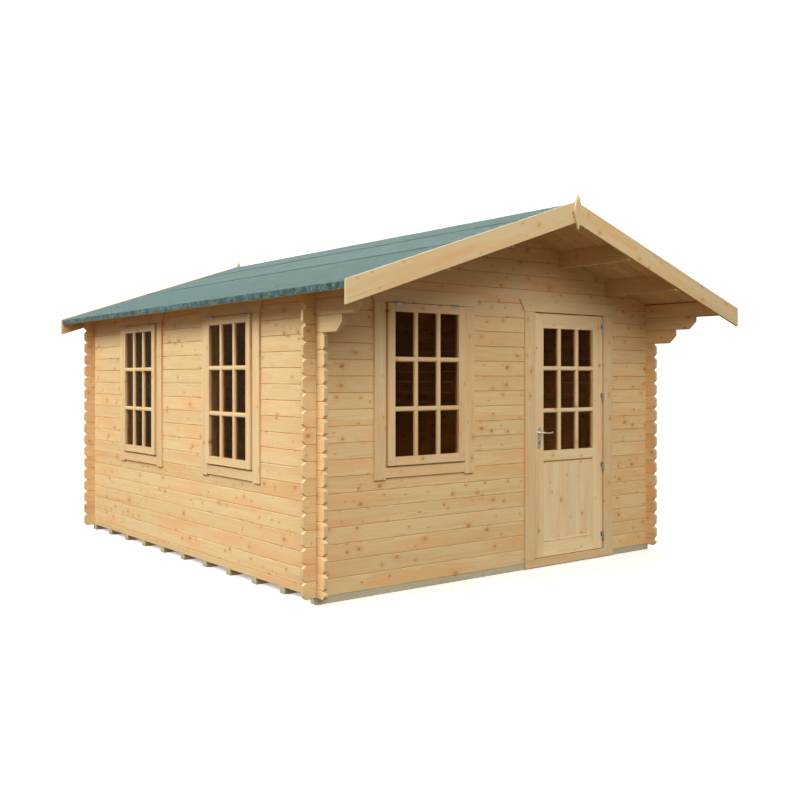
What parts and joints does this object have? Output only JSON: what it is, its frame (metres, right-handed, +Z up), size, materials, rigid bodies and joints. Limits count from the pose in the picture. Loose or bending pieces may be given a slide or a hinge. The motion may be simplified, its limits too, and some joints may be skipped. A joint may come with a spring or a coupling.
{
  "type": "log cabin",
  "caption": "Garden log cabin with interlocking corners, glazed door and windows, and a low felted gable roof that reaches out over the door.",
  "frame": {"origin": "on the ground under the middle of the roof's length and width", "axes": "+Z up, -Y towards the door end, +X to the right when facing the door from outside"},
  "size_m": [4, 5.095, 2.8298],
  "materials": {
    "logs": "planed pine, untreated, satin",
    "planed_timber": "planed pine, satin",
    "rough_boards": "tongued pine boards, matt",
    "treated_timber": "green-grey preservative, matt",
    "roof_felt": "green mineral felt, rough",
    "window_glass": "clear, gloss",
    "zinc_steel": "zinc plated, satin",
    "handle_steel": "satin"
  },
  "bodies": {
    "cabin": {"floor_bearers": "treated_timber", "floor_boards": "rough_boards", "left_wall": "logs", "left_eaves_logs": "logs", "right_wall": "logs", "right_eaves_logs": "logs", "back_wall": "logs", "back_gable": "logs", "front_wall_left": "logs", "front_wall_right": "logs", "front_gable": "logs", "ridge_purlin": "rough_boards", "left_upper_purlin": "rough_boards", "left_lower_purlin": "rough_boards", "right_upper_purlin": "rough_boards", "right_lower_purlin": "rough_boards", "roof_boards_left": "rough_boards", "roof_boards_right": "rough_boards", "eaves_board_left": "planed_timber", "eaves_board_right": "planed_timber", "roof_felt_left": "roof_felt", "roof_felt_right": "roof_felt", "ridge_felt": "roof_felt", "front_barge_left": "planed_timber", "front_barge_right": "planed_timber", "rear_barge_left": "planed_timber", "rear_barge_right": "planed_timber", "front_finial": "planed_timber", "rear_finial": "planed_timber", "front_window_trim": "planed_timber", "front_window_frame": "planed_timber", "front_window_sash": "planed_timber", "front_window_glass": "window_glass", "side_window_1_trim": "planed_timber", "side_window_1_frame": "planed_timber", "side_window_1_sash": "planed_timber", "side_window_1_glass": "window_glass", "side_window_2_trim": "planed_timber", "side_window_2_frame": "planed_timber", "side_window_2_sash": "planed_timber", "side_window_2_glass": "window_glass", "window_hinges": "zinc_steel", "door_trim": "planed_timber", "door_frame": "planed_timber", "door_frame_hinges": "zinc_steel"},
    "door": {"door_leaf": "planed_timber", "door_panel": "planed_timber", "door_glass": "window_glass", "door_leaf_hinges": "zinc_steel", "door_handle_plates": "handle_steel"},
    "lever": {"door_lever": "handle_steel"}
  },
  "joints": [
    {"name": "door_hinge", "type": "hinge", "parent": "cabin", "child": "door", "pos_m": [1.1315, -1.8025, 1], "axis": [0, 0, 1], "range_deg": [0, 110]},
    {"name": "door_lever_turn", "type": "hinge", "parent": "door", "child": "lever", "pos_m": [0.369, -1.7945, 1.079], "axis": [0, 1, 0], "range_deg": [0, 40], "stiffness_Nm_per_rad": 1.5, "springref_deg": -22.92}
  ]
}
